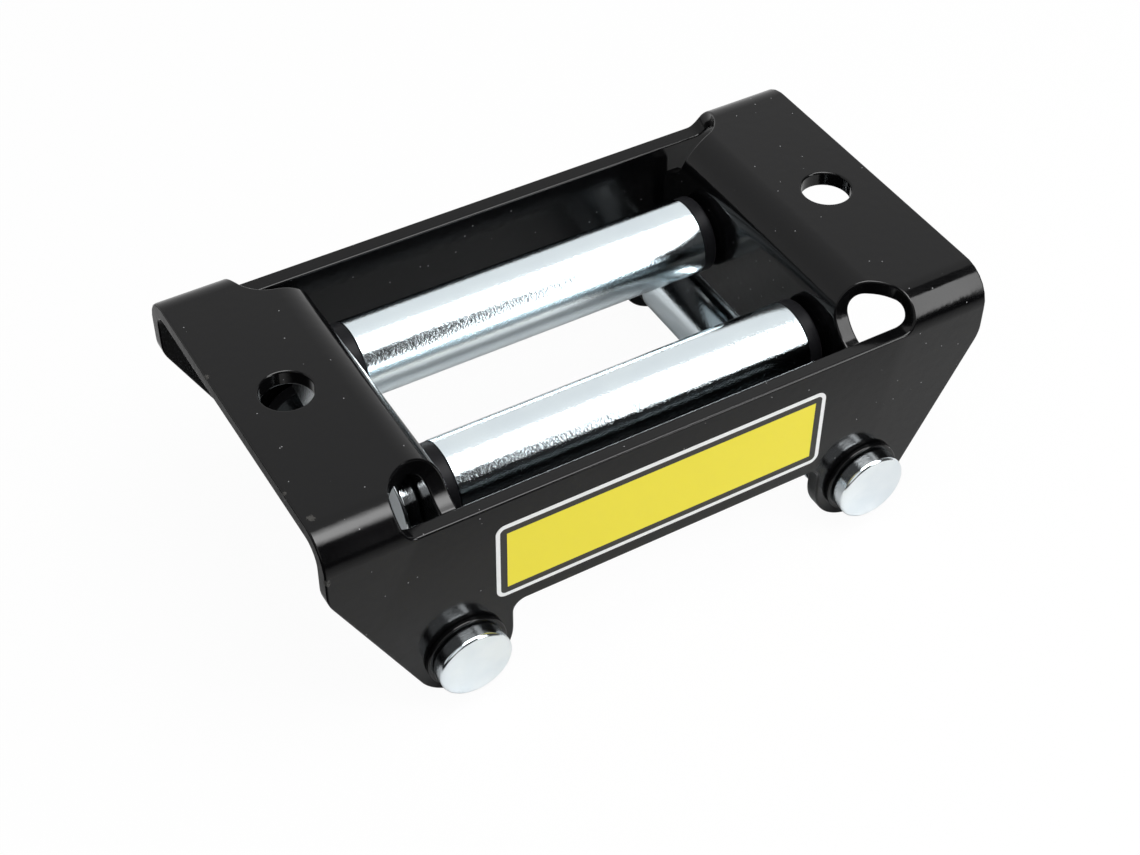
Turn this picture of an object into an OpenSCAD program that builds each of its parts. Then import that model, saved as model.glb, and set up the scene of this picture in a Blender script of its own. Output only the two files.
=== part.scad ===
// Four-way roller fairlead for a small vehicle winch.
// A bent steel frame carries two long rollers and, lower down, two short ones across them.
// Each roller is a steel tube on two flanged plastic bushings and turns on a headed pin,
// which a retaining clip holds at its far end.
// Millimetres. X runs along the frame, +Z is the outward side of the mounting face, and the
// origin lies on that face, halfway between the two mounting holes.

/* [Frame] */
// Length of the frame
frame_length = 147.4; // [142:0.2:156]
// Width of the frame over its two walls
frame_width = 80; // [78:0.5:86]
// Thickness of the steel sheet
sheet = 3.5; // [2.5:0.1:4]
// Outside radius of every bend
bend_radius = 7.5; // [6.5:0.1:8.5]
// How far the short rollers' axes lie below the walls' straight lower edge
leg_reach = 6.9; // [5:0.1:9]
// Depth of the walls' upper edge, along the window, below the mounting face
wall_drop = 6.5; // [5:0.1:7]
// Depth at which a wall's upright end turns into its slanted edge
corner_depth = 14.6; // [12:0.1:18]
// Radius of the rounded corner there
corner_radius = 8; // [4:0.5:12]
// How far the round end of each leg stands out past its roller
leg_margin = 2.3; // [1:0.1:3]
// Radius of the fillet where a leg joins the straight lower edge
leg_fillet = 2.8; // [1:0.1:4]

/* [Mounting holes] */
// Distance from each end of the frame to the centre of its mounting hole
end_margin = 11.7; // [10:0.1:14]
// Diameter of each mounting hole
hole_diameter = 10.6; // [9:0.1:13]

/* [Inner flanges] */
// Distance from each end of the frame to the flange's side that faces the window
end_plate = 29.3; // [27:0.1:32]
// Gap between a flange's lower edge and the short roller below it
flange_gap = 3.6; // [2:0.1:5]
// Slot between a flange's side edge and the wall beside it
flange_slot = 1.8; // [1:0.1:3]
// Radius of a flange's lower corners
flange_corner = 3; // [1:0.1:6]

/* [Corner reliefs] */
// Diameter of the round relief at each corner of the window, in the flat sheet
relief_diameter = 17.6; // [15:0.1:18.4]
// How far its centre lies past the start of the flange's bend, in the flat sheet
relief_past_flange = 3.6; // [2:0.1:5]
// How far its centre lies past the start of the wall's bend, in the flat sheet
relief_past_wall = 3.9; // [2:0.1:5]
// How far all four reliefs are off centre along the frame
relief_offset = -1; // [-1.5:0.1:1.5]

/* [Rollers] */
// Outside diameter of the roller tubes
roller_diameter = 17; // [15:0.1:18]
// Wall thickness of the roller tubes
tube_wall = 1.8; // [1.2:0.1:2.4]
// Chamfer on the tubes' outer end edges
tube_chamfer = 0.3; // [0.1:0.1:0.6]
// Gap between a long roller and the wall beside it
side_gap = 8.4; // [7:0.1:10]
// Depth of the short rollers' axes below the mounting face
short_depth = 42.5; // [41:0.1:45]
// Depth of the long rollers' axes, as a share of the short rollers' depth
long_depth_share = 0.4282; // [0.4:0.0001:0.46]
// How far each short roller's axis lies outside the flange's side that faces the window
roller_set = 2.4; // [1:0.1:4]
// Gap between a bushing's rim and the sheet beside it
end_play = 1.2; // [0.5:0.1:1.6]

/* [Bushings] */
// Thickness of the rim outside the tube
rim_thickness = 2.9; // [2:0.1:4]
// How far the rim lies inside the tube's outside face
rim_inset = 0.1; // [0:0.05:0.5]
// Chamfer on the rim's outer edge
rim_chamfer = 0.4; // [0.1:0.1:0.8]
// Length of the plug inside the tube
plug_length = 11; // [6:0.5:14]
// Lead-in chamfer on the plug
plug_chamfer = 0.8; // [0.3:0.1:1.2]
// Diameter of the recess in the rim's end face, round the bore
recess_diameter = 12.6; // [11.5:0.1:13.5]
// Depth of that recess
recess_depth = 0.5; // [0.2:0.1:1]

/* [Pins] */
// Diameter of the pins
pin_diameter = 10; // [8:0.1:10.5]
// How far the heads stand out past the pins all round
head_rim = 2.8; // [2:0.1:3.4]
// Thickness of the heads
head_thickness = 3.7; // [3:0.1:5]
// Radius of the rounded edge of the heads
head_edge = 0.75; // [0.3:0.05:1.2]
// Length of a pin beyond the sheet at its clip end
pin_tail = 5.2; // [4:0.1:7]
// Chamfer on that end
tail_chamfer = 0.9; // [0.3:0.1:1.4]
// Width of the clip's groove
groove_width = 1.4; // [1.3:0.1:1.8]
// Depth of the clip's groove
groove_depth = 1.1; // [0.8:0.1:1.4]
// Distance from the sheet to the groove
groove_setback = 0.4; // [0.2:0.1:0.8]

/* [Washers] */
// How far the washers under the short pins' heads stand out past the pins all round
washer_rim = 3.6; // [3:0.1:4]
// Thickness of the washers
washer_thickness = 1.2; // [0.8:0.1:2]
// Radius of the rounded edge of the washers
washer_edge = 0.35; // [0.1:0.05:0.35]

/* [Retaining clips] */
// How far a clip stands out past its pin all round
clip_reach = 4; // [3.5:0.1:5]
// Thickness of a clip
clip_thickness = 1.2; // [0.8:0.1:1.2]
// Width of a clip's rim
clip_rim = 2.6; // [1.8:0.1:2.8]
// Width of the mouth that slides over the groove, as a share of the pin's diameter
clip_mouth_share = 0.72; // [0.6:0.01:0.76]
// Width of each of the three lugs that grip the groove
clip_lug = 3.4; // [2.4:0.1:4]

/* [Fits] */
// Gap all round between a pin and the holes that it turns in
pin_clearance = 0.06; // [0.02:0.01:0.1]
// Gap all round between a bushing's plug and its tube
plug_clearance = 0.02; // [0.01:0.01:0.05]
// Gap between faces that rest on each other, such as a pin's head and the sheet
seat_clearance = 0.03; // [0.01:0.01:0.1]

/* [Hidden] */

// Segments of a full circle
round_fn = 96;
// Sides of the relief cutters
relief_sides = 48;
// Overrun that takes a cut clear of the face it starts from
overrun = bend_radius / 2;

half_length = frame_length / 2;
half_width = frame_width / 2;
hole_x = half_length - end_margin;
inner_radius = bend_radius - sheet;
// Radius of the bend's middle layer, which keeps its length when the flat sheet is folded
neutral_radius = bend_radius - sheet / 2;
// Length of that layer round a right-angle bend
bend_length = neutral_radius * PI / 2;

// Where the walls' bends begin, and the inner faces of the walls
wall_bend_start = half_width - bend_radius;
wall_inner = half_width - sheet;

// The flanges: their facing sides, where their bends begin, and their side edges
flange_face = half_length - end_plate;
flange_bend_start = flange_face + bend_radius;
flange_back = flange_face + sheet;
flange_half_width = wall_inner - flange_slot;

relief_radius = relief_diameter / 2;
relief_x = flange_bend_start - relief_past_flange;

// Pins: the long rollers' run along X, the short rollers' along Y
roller_radius = roller_diameter / 2;
long_y = wall_inner - side_gap - roller_radius;
long_depth = short_depth * long_depth_share;
short_x = flange_face + roller_set;
pin_hole_radius = pin_diameter / 2 + pin_clearance;
long_grip = 2 * (flange_back + seat_clearance);
short_grip = 2 * (half_width + seat_clearance);
// How much further out a head sits when there is a washer under it
washer_stack = washer_thickness + seat_clearance;

// Tubes end where the bushings' rims begin
long_tube = 2 * (flange_face - end_play - rim_thickness);
short_tube = 2 * (wall_inner - end_play - rim_thickness);
tube_bore_radius = roller_radius - tube_wall;

// The flanges end above the short rollers. The walls' lower edges and legs follow the pins.
flange_depth = short_depth - roller_radius - flange_gap;
wall_depth = short_depth - leg_reach;
leg_radius = roller_radius + leg_margin;

// The slanted edge of a wall touches the leg's round end and passes the upright end at corner_depth
slant_dx = half_length - short_x;
slant_dz = short_depth - corner_depth;
slant_reach = norm([slant_dx, slant_dz]);
slant_angle = atan2(slant_dz, slant_dx) + asin(leg_radius / slant_reach);
slant_tangent = sqrt(slant_reach * slant_reach - leg_radius * leg_radius);
slant_end = [
    half_length - slant_tangent * cos(slant_angle),
    -corner_depth - slant_tangent * sin(slant_angle)
];
// How far along each edge the rounded corner reaches
corner_turn = 90 - slant_angle;
corner_reach = corner_radius * tan(corner_turn / 2);

// A flat outline whose two upper corners are round, hanging from y = 0 down to -depth
module hanging_outline(width, depth, radius) {
    translate([-width / 2, -depth])
        square([width, depth - radius]);
    translate([-width / 2 + radius, -depth])
        square([width - 2 * radius, depth]);
    for (side = [-1, 1])
        translate([side * (width / 2 - radius), -radius])
            circle(r = radius, $fn = round_fn);
}

// Cross-section of the frame: the mounting plate between two bends, and the two walls
module channel_section() {
    difference() {
        hanging_outline(frame_width, short_depth + leg_radius, bend_radius);
        translate([0, -sheet])
            hanging_outline(2 * wall_inner, short_depth + leg_radius, inner_radius);
    }
}

// Right half of a wall seen from the front: upright end, slanted edge, leg and lower edge
module wall_half() {
    polygon([
        [0, 0],
        [half_length, 0],
        [half_length, -corner_depth + corner_reach],
        [half_length - corner_reach * cos(slant_angle), -corner_depth - corner_reach * sin(slant_angle)],
        slant_end,
        [short_x, -short_depth],
        [short_x - leg_radius, -short_depth],
        [short_x - leg_radius, -wall_depth],
        [0, -wall_depth]
    ]);
    translate([half_length - corner_radius, -corner_depth + corner_reach])
        circle(r = corner_radius, $fn = round_fn);
    translate([short_x, -short_depth])
        circle(r = leg_radius, $fn = round_fn);
    difference() {
        translate([short_x - leg_radius - leg_fillet, -wall_depth - leg_fillet])
            square([leg_fillet, leg_fillet]);
        translate([short_x - leg_radius - leg_fillet, -wall_depth - leg_fillet])
            circle(r = leg_fillet, $fn = round_fn);
    }
}

module wall_outline() {
    wall_half();
    mirror([1, 0])
        wall_half();
}

// Where a point of the flat sheet goes when the sheet is folded.
// past is its distance beyond the line where the bend begins, along its place on that line,
// and depth its distance under the sheet's outer face.
function folded(past, along, depth) =
    past <= 0 ? [past, along, -depth] :
    past < bend_length ?
        [
            (bend_radius - depth) * sin(past / neutral_radius * 180 / PI),
            along,
            (bend_radius - depth) * cos(past / neutral_radius * 180 / PI) - bend_radius
        ] :
        [bend_radius - depth, along, -bend_radius - (past - bend_length)];

// Cutter for a round hole in the flat sheet, folded with it about a bend that begins at x = 0.
// Its walls stay square to the sheet all the way round.
module folded_relief(past, along) {
    levels = [-overrun, bend_radius - inner_radius / 4];
    ring = [for (level = levels, i = [0 : relief_sides - 1])
        folded(past + relief_radius * cos(360 * i / relief_sides),
            along + relief_radius * sin(360 * i / relief_sides), level)];
    hubs = [for (level = levels) folded(past, along, level)];
    outer_hub = 2 * relief_sides;
    inner_hub = outer_hub + 1;
    outer_cap = [for (i = [0 : relief_sides - 1]) [outer_hub, (i + 1) % relief_sides, i]];
    inner_cap = [for (i = [0 : relief_sides - 1])
        [inner_hub, relief_sides + i, relief_sides + (i + 1) % relief_sides]];
    lower_sides = [for (i = [0 : relief_sides - 1])
        [i, (i + 1) % relief_sides, relief_sides + i]];
    upper_sides = [for (i = [0 : relief_sides - 1])
        [(i + 1) % relief_sides, relief_sides + (i + 1) % relief_sides, relief_sides + i]];
    polyhedron(points = concat(ring, hubs),
        faces = concat(outer_cap, inner_cap, lower_sides, upper_sides), convexity = 4);
}

// The reliefs of the walls' bends, as far as the walls' upper edges, which cut them off straight.
// The band above those edges joins each pair of them.
module wall_reliefs() {
    intersection() {
        union() {
            for (side = [-1, 1], my = [0, 1])
                mirror([0, my, 0])
                    translate([side * relief_x + relief_offset, wall_bend_start, 0])
                        rotate([0, 0, 90])
                            folded_relief(relief_past_wall, 0);
            translate([relief_offset - relief_x, -half_width - overrun, -wall_drop - overrun])
                cube([2 * relief_x, frame_width + 2 * overrun, wall_drop + 2 * overrun]);
        }
        translate([-half_length, -half_width - 2 * overrun, -wall_drop])
            cube([frame_length, frame_width + 4 * overrun, wall_drop + 4 * overrun]);
    }
}

// Plate and walls, with the window cut out and its corner reliefs folded over the walls' bends
module channel() {
    difference() {
        intersection() {
            rotate([90, 0, 90])
                linear_extrude(frame_length, center = true)
                    channel_section();
            rotate([90, 0, 0])
                linear_extrude(frame_width, center = true)
                    wall_outline();
        }
        translate([-flange_bend_start, -flange_half_width, -bend_radius])
            cube([2 * flange_bend_start, 2 * flange_half_width, bend_radius + overrun]);
        wall_reliefs();
    }
}

// Section of the right flange: its bend, which starts flush at the end of the plate, and the flange
module flange_section() {
    intersection() {
        translate([flange_bend_start, -bend_radius])
            difference() {
                circle(r = bend_radius, $fn = round_fn);
                circle(r = inner_radius, $fn = round_fn);
            }
        translate([flange_face, -bend_radius])
            square([bend_radius, bend_radius]);
    }
    translate([flange_face, -flange_depth])
        square([sheet, flange_depth - bend_radius]);
}

// Flange seen along X: full width, with round lower corners
module flange_outline() {
    translate([-flange_half_width, -flange_depth + flange_corner])
        square([2 * flange_half_width, flange_depth - flange_corner]);
    translate([-flange_half_width + flange_corner, -flange_depth])
        square([2 * (flange_half_width - flange_corner), flange_depth]);
    for (side = [-1, 1])
        translate([side * (flange_half_width - flange_corner), -flange_depth + flange_corner])
            circle(r = flange_corner, $fn = round_fn);
}

// Right flange, its bend cut by reliefs that are centred at the given distance from the middle
module right_flange(relief_at) {
    difference() {
        intersection() {
            rotate([90, 0, 0])
                linear_extrude(2 * flange_half_width, center = true)
                    flange_section();
            rotate([90, 0, 90])
                linear_extrude(half_length)
                    flange_outline();
        }
        for (my = [0, 1])
            mirror([0, my, 0])
                translate([flange_bend_start, 0, 0])
                    mirror([1, 0, 0])
                        folded_relief(flange_bend_start - relief_at,
                            wall_bend_start + relief_past_wall);
    }
}

module frame() {
    color("#1c1c1e")
        difference() {
            union() {
                channel();
                for (mx = [0, 1])
                    mirror([mx, 0, 0])
                        right_flange(relief_x + (1 - 2 * mx) * relief_offset);
            }
            for (side = [-1, 1]) {
                translate([side * hole_x, 0, -sheet - overrun])
                    cylinder(d = hole_diameter, h = sheet + 2 * overrun, $fn = round_fn);
                translate([0, side * long_y, -long_depth])
                    rotate([0, 90, 0])
                        cylinder(r = pin_hole_radius, h = frame_length, center = true, $fn = round_fn);
                translate([side * short_x, 0, -short_depth])
                    rotate([90, 0, 0])
                        cylinder(r = pin_hole_radius, h = frame_width + 2 * overrun,
                            center = true, $fn = round_fn);
            }
        }
}

// Roller tube along Z, centred, with its outer end edges broken
module tube(length) {
    outer = roller_radius;
    color("#dfe5e8")
        rotate_extrude($fn = round_fn)
            polygon([
                [tube_bore_radius, -length / 2],
                [outer - tube_chamfer, -length / 2],
                [outer, -length / 2 + tube_chamfer],
                [outer, length / 2 - tube_chamfer],
                [outer - tube_chamfer, length / 2],
                [tube_bore_radius, length / 2]
            ]);
}

// Bushing along Z: the rim stands above z = 0 and the plug hangs below it
module bushing() {
    rim = roller_radius - rim_inset;
    plug = tube_bore_radius - plug_clearance;
    bore = pin_diameter / 2 + pin_clearance;
    color("#1f2022")
        rotate_extrude($fn = round_fn)
            polygon([
                [bore, -plug_length],
                [plug - plug_chamfer, -plug_length],
                [plug, -plug_length + plug_chamfer],
                [plug, seat_clearance],
                [rim, seat_clearance],
                [rim, rim_thickness - rim_chamfer],
                [rim - rim_chamfer, rim_thickness],
                [recess_diameter / 2, rim_thickness],
                [recess_diameter / 2, rim_thickness - recess_depth],
                [bore, rim_thickness - recess_depth]
            ]);
}

// Headed pin along Z. Its head's seat is at z = 0, and grip is the length from there to the
// far side of the sheet, past which the clip's groove and the chamfered tail follow.
module pin(grip) {
    shank = pin_diameter / 2;
    head = shank + head_rim;
    color("#e3e8ea")
        difference() {
            union() {
                rotate_extrude($fn = round_fn) {
                    translate([0, -head_thickness])
                        square([head - head_edge, head_thickness]);
                    translate([0, -head_thickness + head_edge])
                        square([head, head_thickness - 2 * head_edge]);
                    translate([head - head_edge, -head_thickness + head_edge])
                        circle(r = head_edge, $fn = round_fn);
                    translate([head - head_edge, -head_edge])
                        circle(r = head_edge, $fn = round_fn);
                }
                cylinder(r = shank, h = grip + pin_tail - tail_chamfer, $fn = round_fn);
                translate([0, 0, grip + pin_tail - tail_chamfer])
                    cylinder(r1 = shank, r2 = shank - tail_chamfer, h = tail_chamfer, $fn = round_fn);
            }
            translate([0, 0, grip + groove_setback])
                difference() {
                    cylinder(r = shank + overrun, h = groove_width, $fn = round_fn);
                    translate([0, 0, -overrun])
                        cylinder(r = shank - groove_depth, h = groove_width + 2 * overrun, $fn = round_fn);
                }
        }
}

// Flat washer along Z, with one face at z = 0
module washer() {
    outer = pin_diameter / 2 + washer_rim;
    color("#d5dadc")
        rotate_extrude($fn = round_fn) {
            translate([pin_hole_radius, 0])
                square([outer - washer_edge - pin_hole_radius, washer_thickness]);
            translate([pin_hole_radius, washer_edge])
                square([outer - pin_hole_radius, washer_thickness - 2 * washer_edge]);
            for (edge = [washer_edge, washer_thickness - washer_edge])
                translate([outer - washer_edge, edge])
                    circle(r = washer_edge, $fn = round_fn);
        }
}

// Retaining clip in the plane z = 0, centred on the pin, with its mouth towards +Y
module clip() {
    outer = pin_diameter / 2 + clip_reach;
    grip_radius = pin_diameter / 2 - groove_depth + seat_clearance;
    mouth = pin_diameter * clip_mouth_share;
    color("#c9ced1")
        linear_extrude(clip_thickness)
            difference() {
                union() {
                    difference() {
                        circle(r = outer, $fn = round_fn);
                        circle(r = outer - clip_rim, $fn = round_fn);
                    }
                    for (turn = [0, 90, 270])
                        rotate(turn)
                            translate([-clip_lug / 2, -outer + clip_rim / 2])
                                square([clip_lug, outer - clip_rim / 2]);
                }
                circle(r = grip_radius, $fn = round_fn);
                translate([-mouth / 2, 0])
                    square([mouth, outer + overrun]);
            }
}

// Places a piece drawn along Z on the axis of a long roller (side -1 front, +1 rear), Z to +X
module on_long_axis(side) {
    translate([0, side * long_y, -long_depth])
        rotate([0, 90, 0])
            children();
}

// Places a piece drawn along Z on the axis of a short roller (side -1 left, +1 right), Z to +Y
module on_short_axis(side) {
    translate([side * short_x, 0, -short_depth])
        rotate([-90, 0, 0])
            children();
}

// A bushing at one end of a tube that is drawn along Z: end -1 is its lower end, +1 its upper end
module bushing_at(end, length) {
    mirror([0, 0, end < 0 ? 1 : 0])
        translate([0, 0, length / 2])
            bushing();
}

// stack is the thickness of what lies between the pin's head and the sheet
module seated_pin(grip, stack = 0) {
    translate([0, 0, -grip / 2 - stack])
        pin(grip + stack);
}

module seated_washer(grip) {
    translate([0, 0, -grip / 2 - washer_thickness])
        washer();
}

module seated_clip(grip) {
    translate([0, 0, grip / 2 + groove_setback + (groove_width - clip_thickness) / 2])
        clip();
}

frame();
on_long_axis(-1) tube(long_tube);  // front_roller_tube
on_long_axis(1) tube(long_tube);  // rear_roller_tube
on_short_axis(-1) tube(short_tube);  // left_roller_tube
on_short_axis(1) tube(short_tube);  // right_roller_tube
on_long_axis(-1) bushing_at(-1, long_tube);  // front_bushing_left
on_long_axis(-1) bushing_at(1, long_tube);  // front_bushing_right
on_long_axis(1) bushing_at(-1, long_tube);  // rear_bushing_left
on_long_axis(1) bushing_at(1, long_tube);  // rear_bushing_right
on_short_axis(-1) bushing_at(-1, short_tube);  // left_bushing_front
on_short_axis(-1) bushing_at(1, short_tube);  // left_bushing_rear
on_short_axis(1) bushing_at(-1, short_tube);  // right_bushing_front
on_short_axis(1) bushing_at(1, short_tube);  // right_bushing_rear
on_long_axis(-1) seated_pin(long_grip);  // front_pin
on_long_axis(1) seated_pin(long_grip);  // rear_pin
on_short_axis(-1) seated_pin(short_grip, washer_stack);  // left_pin
on_short_axis(1) seated_pin(short_grip, washer_stack);  // right_pin
on_short_axis(-1) seated_washer(short_grip);  // left_pin_washer
on_short_axis(1) seated_washer(short_grip);  // right_pin_washer
on_long_axis(-1) seated_clip(long_grip);  // front_pin_clip
on_long_axis(1) seated_clip(long_grip);  // rear_pin_clip
on_short_axis(-1) seated_clip(short_grip);  // left_pin_clip
on_short_axis(1) seated_clip(short_grip);  // right_pin_clip
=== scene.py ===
# %% [markdown]
# # A roller fairlead, dressed for its portrait
#
# The object guides a winch's rope. One steel sheet, cut and folded, holds four plated rollers,
# and each roller turns on a headed pin. The CAD model arrives with every size in place. This
# notebook gives it what a camera sees: soft painted edges, bright zinc, satin plastic and a
# sticker. Nothing here changes a dimension.

# %% Load the frame
import math

import bmesh
import bpy
import numpy as np
from mathutils import Matrix, Vector
from mathutils.geometry import delaunay_2d_cdt


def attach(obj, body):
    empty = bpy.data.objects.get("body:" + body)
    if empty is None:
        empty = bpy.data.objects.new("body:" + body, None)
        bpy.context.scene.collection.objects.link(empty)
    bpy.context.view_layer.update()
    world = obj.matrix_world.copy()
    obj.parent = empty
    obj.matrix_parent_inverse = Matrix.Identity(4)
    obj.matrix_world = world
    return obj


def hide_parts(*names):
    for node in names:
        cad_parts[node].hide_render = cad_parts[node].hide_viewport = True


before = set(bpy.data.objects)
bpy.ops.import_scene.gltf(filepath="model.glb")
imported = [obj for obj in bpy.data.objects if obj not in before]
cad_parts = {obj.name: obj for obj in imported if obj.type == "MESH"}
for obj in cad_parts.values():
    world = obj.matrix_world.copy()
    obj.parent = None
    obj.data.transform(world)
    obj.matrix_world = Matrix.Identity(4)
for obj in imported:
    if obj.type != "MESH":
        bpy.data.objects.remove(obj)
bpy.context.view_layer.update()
MM = 0.001

# %% [markdown]
# ## Small tools
#
# Colours are written the way a paint chart or a photo editor gives them, as sRGB hex. Blender
# computes in linear light, so one function turns one into the other. A second function adds a
# shader or geometry node, sets it up and links it, which keeps each material readable: a node
# can be handed straight to the next one.

# %% Colour and node helpers


def paint(code):
    """An sRGB hex colour as linear RGBA."""
    channels = [int(code[i:i + 2], 16) / 255 for i in (1, 3, 5)]
    return tuple(c / 12.92 if c <= 0.04045 else ((c + 0.055) / 1.055) ** 2.4 for c in channels) + (1.0,)


def add(tree, kind, inputs=None, **settings):
    """Adds a node, sets its properties, and fills or links its inputs.

    A node given for an input stands for its first output in use.
    """
    node = tree.nodes.new(kind)
    for name, value in settings.items():
        setattr(node, name, value)
    for name, value in (inputs or {}).items():
        if isinstance(value, bpy.types.Node):
            value = next(output for output in value.outputs if output.enabled)
        if isinstance(value, bpy.types.NodeSocket):
            tree.links.new(value, node.inputs[name])
        else:
            node.inputs[name].default_value = value
    return node


def new_material(name):
    """A material with an empty tree, and its Object coordinates."""
    material = bpy.data.materials.new(name)
    material.use_nodes = True
    tree = material.node_tree
    tree.nodes.clear()
    return material, tree, add(tree, "ShaderNodeTexCoord").outputs["Object"]


print("black as linear light:", [round(c, 4) for c in paint("#09090a")])

# %% [markdown]
# ## Sizes
#
# These are the same named sizes that the CAD source uses, in millimetres. The sheet's middle
# layer keeps its length in a bend, so the length of that layer says how much flat steel a fold
# uses up.

# %% The frame's sizes
HALF_LENGTH = 73.7
HALF_WIDTH = 40.0
SHEET = 3.5
BEND = 7.5
WALL_DEPTH = 35.6
WALL_DROP = 6.5
CORNER_DEPTH = 14.6
CORNER_RADIUS = 8.0
LEG_RADIUS = 10.8
LEG_FILLET = 2.8
HOLE_X = 62.0
HOLE_RADIUS = 5.3
FLANGE_FACE = 44.4
FLANGE_DEPTH = 30.4
FLANGE_CORNER = 3.0
FLANGE_SLOT = 1.8
RELIEF_X, RELIEF_Y = 48.3, 36.4
RELIEF_OFFSET = -1.0
RELIEF_RADIUS = 8.8
LONG_Y, LONG_Z = 19.6, -18.2
SHORT_X, SHORT_Z = 46.8, -42.5
PIN_HOLE = 5.06

NEUTRAL = BEND - SHEET / 2
FOLD_LENGTH = NEUTRAL * math.pi / 2
WALL_START = HALF_WIDTH - BEND
FLANGE_START = FLANGE_FACE + BEND
FLANGE_HALF_WIDTH = HALF_WIDTH - SHEET - FLANGE_SLOT
print(f"each fold uses {FOLD_LENGTH:.2f} mm of flat steel")

# %% [markdown]
# ## The flat blank
#
# A press brake folds this frame from one cut sheet, so the notebook does the same: it draws the
# flat blank, gives it thickness and rounded edges, and then folds it. Folding a finished blank
# is why the round reliefs at the window's corners come out as the odd, saddle-shaped openings
# that the real frame has: each circle crosses two folds.
#
# `flat_depth` says where a depth on the folded wall lies on the flat sheet.

# %% Lines of the blank


def flat_depth(depth, start):
    """Distance from the middle of the flat blank to a point that ends up at this depth."""
    if depth >= BEND:
        return start + FOLD_LENGTH + depth - BEND
    return start + NEUTRAL * math.acos(1 - depth / BEND)


def arc(centre, radius, first, last, step=0.5):
    """Points on a circle from one angle to another, in degrees, about step mm apart."""
    count = max(3, math.ceil(abs(math.radians(last - first)) * radius / step))
    angles = np.radians(np.linspace(first, last, count + 1))
    return [(centre[0] + radius * math.cos(a), centre[1] + radius * math.sin(a)) for a in angles]


def spaced(points, step=1.5):
    """The same closed outline with extra points on its long straight stretches."""
    out = []
    for p, q in zip(points, points[1:] + points[:1]):
        p, q = np.array(p), np.array(q)
        count = max(1, round(np.linalg.norm(q - p) / step))
        out += [tuple(p + (q - p) * i / count) for i in range(count)]
    return out


leg_y = flat_depth(-SHORT_Z, WALL_START)
edge_y = flat_depth(WALL_DEPTH, WALL_START)
corner_y = flat_depth(CORNER_DEPTH, WALL_START)
drop_y = flat_depth(WALL_DROP, WALL_START)
flange_tip = FLANGE_START - FOLD_LENGTH - (FLANGE_DEPTH - BEND)
print(f"flat blank: {2 * HALF_LENGTH:.1f} by {2 * (leg_y + LEG_RADIUS):.1f} mm")

# %% The outside, drawn as one quarter and mirrored


def outside_quarter():
    """From the end's middle, round the corner and down the slant, round the leg, to the wall's middle."""
    rise, run = leg_y - corner_y, HALF_LENGTH - SHORT_X
    slant = math.atan2(rise, run) + math.asin(LEG_RADIUS / math.hypot(rise, run))
    corner_reach = CORNER_RADIUS * math.tan((math.pi / 2 - slant) / 2)
    tangent = 90 - math.degrees(slant)
    points = [(HALF_LENGTH, 0.0)]
    points += arc((HALF_LENGTH - CORNER_RADIUS, corner_y - corner_reach), CORNER_RADIUS, 0, tangent)
    points += arc((SHORT_X, leg_y), LEG_RADIUS, tangent, 180)
    points += arc((SHORT_X - LEG_RADIUS - LEG_FILLET, edge_y + LEG_FILLET), LEG_FILLET, 0, -90)
    return points + [(0.0, edge_y)]


quarter = outside_quarter()
outside = quarter + [(-x, y) for x, y in quarter[-2::-1]]
outside = outside[:-1] + [(x, -y) for x, y in outside[::-1]][:-1]
print(len(outside), "points round the outside")

# %% The window and the round holes
# Punching and paint blunt both ends of each relief: where it meets the flange's side edge, and
# where the wall's straight upper edge cuts it off
TIP, CUT_OFF = 1.1, 2.6


def window_quarter(relief_x):
    """One quarter of the window, from the middle of a wall's edge round a relief to a flange's tip."""
    rise = drop_y - CUT_OFF - RELIEF_Y
    run = math.sqrt((RELIEF_RADIUS - CUT_OFF) ** 2 - rise ** 2)
    enter = math.degrees(math.atan2(rise, run))
    sink = RELIEF_Y - FLANGE_HALF_WIDTH + TIP
    leave = math.degrees(math.asin(sink / (RELIEF_RADIUS + TIP)))
    tip_x = relief_x - math.sqrt((RELIEF_RADIUS + TIP) ** 2 - sink ** 2)
    points = [(0.0, drop_y)] + arc((relief_x + run, drop_y - CUT_OFF), CUT_OFF, 90, enter)
    points += arc((relief_x, RELIEF_Y), RELIEF_RADIUS, enter, leave - 180)[1:]
    points += arc((tip_x, FLANGE_HALF_WIDTH - TIP), TIP, leave, 90, 0.2)[1:]
    points += arc((flange_tip + FLANGE_CORNER, FLANGE_HALF_WIDTH - FLANGE_CORNER), FLANGE_CORNER, 90, 180)
    return points + [(flange_tip, 0.0)]


on_right, on_left = (window_quarter(RELIEF_X + side * RELIEF_OFFSET) for side in (1, -1))
window = on_right + [(x, -y) for x, y in on_right[-2:0:-1]]
window += [(-x, -y) for x, y in on_left] + [(-x, y) for x, y in on_left[-2:0:-1]]

hole_loops = [arc((sx * HOLE_X, 0), HOLE_RADIUS, 0, 360)[:-1] for sx in (-1, 1)]
flange_hole_x = FLANGE_START - FOLD_LENGTH - (-LONG_Z - BEND)
for sx in (-1, 1):
    for sy in (-1, 1):
        hole_loops.append(arc((sx * flange_hole_x, sy * LONG_Y), PIN_HOLE, 0, 360)[:-1])
        hole_loops.append(arc((sx * SHORT_X, sy * leg_y), PIN_HOLE, 0, 360)[:-1])
print(len(window), "points round the window,", len(hole_loops), "round holes")

# %% [markdown]
# ## Thickness and rounded edges
#
# Punched steel has crisp edges, but powder coat flows round them and leaves a radius that
# catches the light as a thin bright line. Blender's Bevel modifier could round them, but on a
# blank with a dozen holes and reliefs it is simpler to lay the rounding down ring by ring. Each
# outline gets ten rings of points, from the outer face, round the edge, down the cut side and
# round to the inner face. The exact surface direction of every ring is known, and it is kept
# for the shading.

# %% Rings round an edge
EDGE = 0.45


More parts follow.
